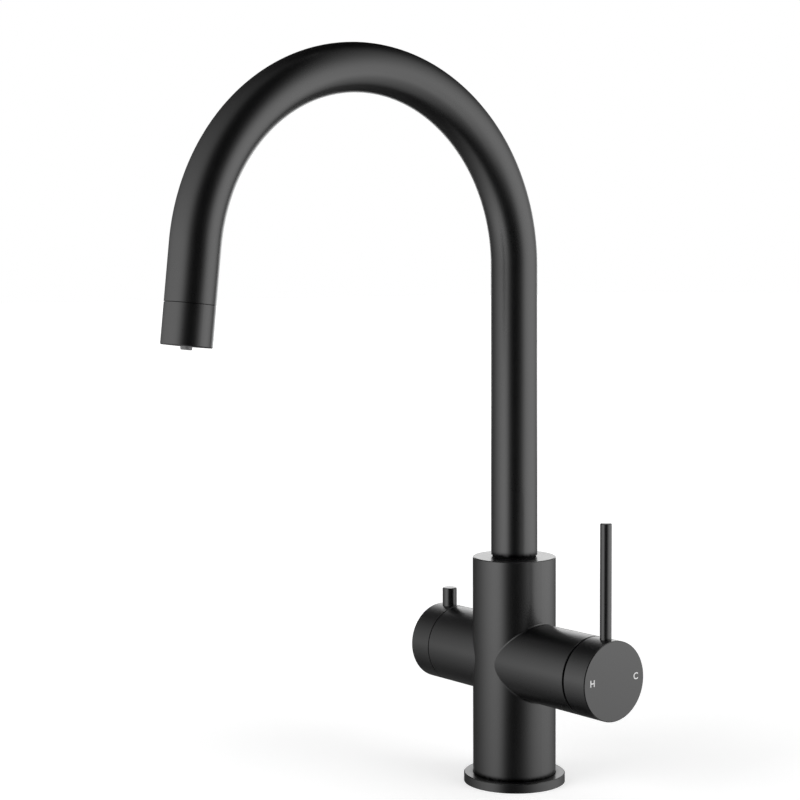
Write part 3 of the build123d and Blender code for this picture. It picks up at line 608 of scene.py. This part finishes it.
def moulded_finish(name, colour, light, roughness, grain=1800.0, depth=0.01 * mm, shine=0.5):
    """A moulded plastic, rubber or ceramic surface, or one of paint."""
    material = new_material(name)
    tree = material.node_tree
    shader = tree.nodes["Principled BSDF"]
    shader.inputs["Specular IOR Level"].default_value = shine
    skin = use_group(tree, moulded, axis_place(tree, upright), Colour=colour, Light_Colour=light,
                     Roughness=roughness, Grain=grain)
    tree.links.new(skin.outputs["Colour"], shader.inputs["Base Color"])
    tree.links.new(skin.outputs["Roughness"], shader.inputs["Roughness"])
    tree.links.new(bump(tree, skin.outputs["Height"], depth), shader.inputs["Normal"])
    return material


flange_rims = [(upright, flange_radius, flange_top), (upright, flange_radius, 0.0)]
# The flange's top beside the barrel carries the same painted shade.
dress(black_coating("coated_flange", flange_rims, [foot_painted_shade]), "base_flange")
seal_rubber = moulded_finish("seal_rubber", (0.011, 0.011, 0.011, 1), (0.021, 0.021, 0.02, 1),
                             roughness=0.62)
dress(seal_rubber, "base_seal")


# The mixing cartridge in the right arm: a moulded shell with a base and rubber seals, two lapped
# ceramic discs, a rotor with its ground steel pin, and the brass ring nut that holds it all in.
tilt_pin_axis = ((47.6 * mm, 0, arm_height), (math.radians(90), 0, 0))


def turned_finish(name, axis, colour, light, roughness):
    """Bare turned metal about an axis."""
    material = new_material(name)
    tree = material.node_tree
    shader = tree.nodes["Principled BSDF"]
    metal = use_group(tree, turned_metal, axis_place(tree, axis), Colour=colour,
                      Light_Colour=light, Roughness=roughness)
    shader.inputs["Metallic"].default_value = 1.0
    tree.links.new(metal.outputs["Colour"], shader.inputs["Base Color"])
    tree.links.new(metal.outputs["Roughness"], shader.inputs["Roughness"])
    tree.links.new(bump(tree, metal.outputs["Height"], turning_depth), shader.inputs["Normal"])
    return material


steel_deep = (0.46, 0.46, 0.47, 1)
steel_light = (0.6, 0.6, 0.61, 1)
shell_plastic = moulded_finish("shell_plastic", (0.66, 0.66, 0.63, 1), (0.73, 0.73, 0.7, 1),
                               roughness=0.42)
rotor_plastic = moulded_finish("rotor_plastic", (0.5, 0.52, 0.54, 1), (0.58, 0.6, 0.62, 1),
                               roughness=0.38)
lapped_ceramic = moulded_finish("lapped_ceramic", (0.8, 0.79, 0.76, 1), (0.86, 0.85, 0.82, 1),
                                roughness=0.24, grain=5200.0, depth=0.002 * mm)
brass_in_arms = turned_finish("brass_in_arms", along_arms, brass_deep, brass_light, brass_roughness)
dress(shell_plastic, "cartridge_base", "cartridge_housing")
dress(seal_rubber, "cartridge_seals")
dress(lapped_ceramic, "fixed_mixing_disc", "moving_mixing_disc")
dress(rotor_plastic, "mixing_carrier")
dress(turned_finish("ground_pin", tilt_pin_axis, steel_deep, steel_light, roughness=0.2),
      "tilt_pin")
dress(brass_in_arms, "cartridge_nut")


# The dome: a ball-shaped cover of dark plastic, pushed over the nut. It is what the gap beside the
# mixer knob shows.
faint_shine = 0.05
dark_plastic = moulded_finish("dark_plastic", (0.0012, 0.0012, 0.0013, 1),
                              (0.002, 0.002, 0.0021, 1), roughness=0.6, shine=faint_shine)
dress(dark_plastic, "dome_cover")


# The mixer's handle: a coated disc knob on a milled brass stem, held by a steel grub screw, with
# a long coated pin for a lever screwed into its top.
mixer_face = 78.2 * mm
mixer_knob_start = 63.0 * mm
mixer_lever_axis = ((71.7 * mm, 0, 0), (0, 0, 0))
mixer_lever_top = 148.9 * mm
mixer_lever_radius = 3.0 * mm

dress(turned_finish("milled_stem", along_arms, brass_deep, brass_light, roughness=0.34),
      "mixer_stem")
mixer_knob_rims = [(along_arms, arm_radius, mixer_face), (along_arms, arm_radius, mixer_knob_start)]
mixer_lever_rims = [(mixer_lever_axis, mixer_lever_radius, mixer_lever_top)]
dress(black_coating("coated_mixer_knob", mixer_knob_rims), "mixer_knob")
dress(black_coating("coated_mixer_lever", mixer_lever_rims), "mixer_lever")
dress(turned_finish("steel_screw", mixer_lever_axis, steel_deep, steel_light, roughness=0.3),
      "mixer_grub_screw")


# The marks on the mixer knob's face: two plain letters for hot and cold, each a thin skin of
# white paint printed on the coating.
print_height = 4.9 * mm
print_boldness = 0.09 * mm
print_thickness = 0.03 * mm
mark_rise = 0.8 * mm
mark_spread = 15.2 * mm
white_print = moulded_finish("white_print", (0.78, 0.78, 0.78, 1), (0.86, 0.86, 0.86, 1),
                             roughness=0.5)


def printed_letter(letter, name, side):
    """A letter as a thin skin of paint on the face, upright and read from the front of the knob."""
    shape = bpy.data.curves.new(name, "FONT")
    shape.body = letter
    shape.size = print_height
    shape.offset = print_boldness
    shape.extrude = print_thickness / 2
    shape.align_x = "CENTER"
    shape.align_y = "CENTER"
    drawn = bpy.data.objects.new(name + "_drawn", shape)
    bpy.context.scene.collection.objects.link(drawn)
    bpy.context.view_layer.update()
    depsgraph = bpy.context.evaluated_depsgraph_get()
    data = bpy.data.meshes.new_from_object(drawn.evaluated_get(depsgraph))
    bpy.data.objects.remove(drawn)
    facing = Matrix(((0, 0, 1), (1, 0, 0), (0, 1, 0))).to_4x4()
    spot = Vector((mixer_face, side * mark_spread, arm_height + mark_rise))
    data.transform(Matrix.Translation(spot) @ facing)
    data.materials.clear()
    data.materials.append(white_print)
    mark = bpy.data.objects.new(name, data)
    bpy.context.scene.collection.objects.link(mark)
    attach(mark, "mixer_handle")


printed_letter("H", "hot_mark", side=-1)
printed_letter("C", "cold_mark", side=1)


# The filter valve in the left arm: a turned brass headwork with its rubber rings, a soft seat
# washer, two lapped ceramic discs and the brass spindle that turns one of them.
dress(seal_rubber, "filter_seat_washer", "headwork_seal", "spindle_seal")
dress(lapped_ceramic, "filter_fixed_disc", "filter_moving_disc")
dress(brass_in_arms, "filter_headwork", "filter_spindle")


# The filter's knob: a coated cap on the spindle's splines, held by a steel grub screw, with a
# short thick coated pin for a lever.
filter_face = -64.2 * mm
filter_knob_start = -49.2 * mm
filter_lever_axis = ((-55.9 * mm, 0, 0), (0, 0, 0))
filter_lever_top = 98.8 * mm
filter_lever_radius = 4.0 * mm

filter_knob_rims = [(along_arms, arm_radius, filter_face),
                    (along_arms, arm_radius, filter_knob_start)]
filter_lever_rims = [(filter_lever_axis, filter_lever_radius, filter_lever_top)]
dress(black_coating("coated_filter_knob", filter_knob_rims), "filter_knob")
dress(black_coating("coated_filter_lever", filter_lever_rims), "filter_lever")
dress(turned_finish("steel_screw_left", filter_lever_axis, steel_deep, steel_light,
                    roughness=0.3), "filter_grub_screw")


# The spout's seat: a dark ring that the spout glides on, the turned brass foot of the spout with
# its two seals, the steel screw that holds it at the back, and the inner tube's own seal.
retaining_axis = ((0, 0, 116.0 * mm), (math.radians(90), 0, 0))

dress(dark_plastic, "glide_ring")
dress(turned_finish("brass_upright", upright, brass_deep, brass_light, brass_roughness),
      "spout_spigot")
dress(seal_rubber, "spout_seals", "inner_tube_seal")
dress(turned_finish("retaining_steel", retaining_axis, steel_deep, steel_light,
                    roughness=0.3), "spout_retaining_screw")


# The gooseneck: one drawn tube, straight up from the ring, round a wide arch and down to the
# outlet, coated black. It is bent here from its sizes, as the real one is round a former.
tube_radius = 12.5 * mm
tube_wall = 1.2 * mm
tube_foot = 124.5 * mm
arch_height = 280.2 * mm
arch_radius = 99.6 * mm
arch_sweep = math.radians(173.4)
outlet_leg = 48.7 * mm
sleeve_length = 20.1 * mm
sleeve_joint = 0.35 * mm
tube_rings = 230
tube_sides = 96
sharp_edge = math.radians(40)


def bent_tube_tree(material):
    """A straight line that is bent round the arch by its length, and given a round wall."""
    tree, start, end = group(
        "bent_tube",
        [("Foot Height", FLOAT, 0.1), ("Arch Height", FLOAT, 0.3), ("Arch Radius", FLOAT, 0.1),
         ("Arch Sweep", FLOAT, 3.0), ("Leg", FLOAT, 0.03), ("Tube Radius", FLOAT, 0.012),
         ("Rings", "NodeSocketInt", 200), ("Sides", "NodeSocketInt", 64)],
        [("Geometry", "NodeSocketGeometry")], "GeometryNodeTree")
    tree.is_modifier = True
    size = start.outputs
    riser = math_node(tree, "SUBTRACT", size["Arch Height"], size["Foot Height"])
    bend = math_node(tree, "MULTIPLY", size["Arch Radius"], size["Arch Sweep"])
    straight_and_bend = math_node(tree, "ADD", riser, bend)
    whole = add_node(tree, "ShaderNodeCombineXYZ")
    tree.links.new(math_node(tree, "ADD", straight_and_bend, size["Leg"]), whole.inputs["Z"])
    line = add_node(tree, "GeometryNodeCurvePrimitiveLine", mode="POINTS")
    tree.links.new(whole.outputs[0], line.inputs["End"])
    ringed = add_node(tree, "GeometryNodeResampleCurve")
    tree.links.new(line.outputs[0], ringed.inputs["Curve"])
    tree.links.new(size["Rings"], ringed.inputs["Count"])

    along = add_node(tree, "GeometryNodeSplineParameter").outputs["Length"]
    up_riser = math_node(tree, "MINIMUM", along, riser)
    past_riser = math_node(tree, "MAXIMUM", math_node(tree, "SUBTRACT", along, riser), 0.0)
    angle = math_node(tree, "MINIMUM", math_node(tree, "DIVIDE", past_riser, size["Arch Radius"]),
                      size["Arch Sweep"])
    past_bend = math_node(tree, "MAXIMUM", math_node(tree, "SUBTRACT", along, straight_and_bend),
                          0.0)
    sine = math_node(tree, "SINE", angle)
    cosine = math_node(tree, "COSINE", angle)
    forward_bend = math_node(tree, "MULTIPLY", size["Arch Radius"],
                             math_node(tree, "SUBTRACT", cosine, 1.0))
    forward_leg = math_node(tree, "MULTIPLY", past_bend, sine)
    rise_bend = math_node(tree, "MULTIPLY", size["Arch Radius"], sine)
    rise_leg = math_node(tree, "MULTIPLY", past_bend, cosine)
    height = math_node(tree, "ADD", math_node(tree, "ADD", size["Foot Height"], up_riser),
                       math_node(tree, "ADD", rise_bend, rise_leg))
    bent = add_node(tree, "ShaderNodeCombineXYZ")
    tree.links.new(math_node(tree, "SUBTRACT", forward_bend, forward_leg), bent.inputs["Y"])
    tree.links.new(height, bent.inputs["Z"])
    path = add_node(tree, "GeometryNodeSetPosition")
    tree.links.new(ringed.outputs["Curve"], path.inputs["Geometry"])
    tree.links.new(bent.outputs[0], path.inputs["Position"])

    section = add_node(tree, "GeometryNodeCurvePrimitiveCircle", mode="RADIUS")
    tree.links.new(size["Sides"], section.inputs["Resolution"])
    tree.links.new(size["Tube Radius"], section.inputs["Radius"])
    wall = add_node(tree, "GeometryNodeCurveToMesh")
    tree.links.new(path.outputs["Geometry"], wall.inputs["Curve"])
    tree.links.new(section.outputs["Curve"], wall.inputs["Profile Curve"])
    smooth = add_node(tree, "GeometryNodeSetShadeSmooth")
    realized = add_node(tree, "GeometryNodeRealizeInstances")
    finish = add_node(tree, "GeometryNodeSetMaterial")
    finish.inputs["Material"].default_value = material
    tree.links.new(wall.outputs["Mesh"], smooth.inputs["Geometry"])
    tree.links.new(smooth.outputs["Geometry"], realized.inputs["Geometry"])
    tree.links.new(realized.outputs["Geometry"], finish.inputs["Geometry"])
    tree.links.new(finish.outputs["Geometry"], end.inputs["Geometry"])
    return tree


def make_gooseneck():
    """The tube as a plain mesh, with its wall, in place of the CAD one."""
    # Painted shade round the tube's foot, where it stands on the glide ring.
    coat = black_coating("coated_tube", [], [(upright, tube_radius, tube_foot)])
    tree = bent_tube_tree(coat)
    tube = bpy.data.objects.new("gooseneck", bpy.data.meshes.new("gooseneck"))
    bpy.context.scene.collection.objects.link(tube)
    bending = tube.modifiers.new("bending", "NODES")
    bending.node_group = tree
    sizes = {"Foot Height": tube_foot, "Arch Height": arch_height, "Arch Radius": arch_radius,
             "Arch Sweep": arch_sweep, "Leg": outlet_leg - sleeve_length - sleeve_joint,
             "Tube Radius": tube_radius, "Rings": tube_rings, "Sides": tube_sides}
    for item in tree.interface.items_tree:
        if item.in_out == "INPUT":
            bending[item.identifier] = sizes[item.name]
    walling = tube.modifiers.new("walling", "SOLIDIFY")
    walling.thickness = tube_wall
    walling.offset = -1
    bpy.context.view_layer.update()
    depsgraph = bpy.context.evaluated_depsgraph_get()
    data = bpy.data.meshes.new_from_object(tube.evaluated_get(depsgraph))
    tube.modifiers.clear()
    tube.data = data
    data.set_sharp_from_angle(angle=sharp_edge)
    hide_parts("spout_tube")
    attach(tube, "spout")


make_gooseneck()


# The inner tube: pale drawn plastic, held in the middle of the spout by a ribbed hub at each end.
# It keeps the filtered water apart all the way to the nozzle.
tube_plastic = moulded_finish("tube_plastic", (0.72, 0.72, 0.7, 1), (0.8, 0.8, 0.78, 1),
                              roughness=0.36, grain=900.0, depth=0.006 * mm)
dress(tube_plastic, "filter_water_tube")


# The outlet: a brass adapter soldered into the tube's end, its shoulder coated black, the coated
# sleeve screwed on it, and in that the moulded aerator with the filter's nozzle in its middle.
tube_inner = tube_radius - tube_wall
water_y = -math.sin(arch_sweep)
water_z = math.cos(arch_sweep)
outlet_centre = (0, -arch_radius + arch_radius * math.cos(arch_sweep) + outlet_leg * water_y,
                 arch_height + arch_radius * math.sin(arch_sweep) + outlet_leg * water_z)
along_outlet = (outlet_centre, (math.atan2(water_y, water_z), 0, 0))
adapter_reach = 60 * mm


def adapter_bare(tree):
    """Bare brass inside the tube and the sleeve, and coat on the shoulder between them."""
    return inside(tree, along_outlet, tube_inner, -adapter_reach, 0.0)


aerator_plastic = moulded_finish("aerator_plastic", (0.3, 0.3, 0.3, 1), (0.36, 0.36, 0.36, 1),
                                 roughness=0.4)
nozzle_plastic = moulded_finish("nozzle_plastic", (0.2, 0.2, 0.205, 1), (0.27, 0.27, 0.275, 1),
                                roughness=0.35)
dress(part_coated("brass_adapter", [], along_outlet, adapter_bare, shine=faint_shine),
      "outlet_adapter")
dress(black_coating("coated_sleeve", [(along_outlet, tube_radius, 0.0)]), "outlet_sleeve")
dress(aerator_plastic, "aerator_insert")
dress(seal_rubber, "aerator_seal")
dress(nozzle_plastic, "filter_nozzle")
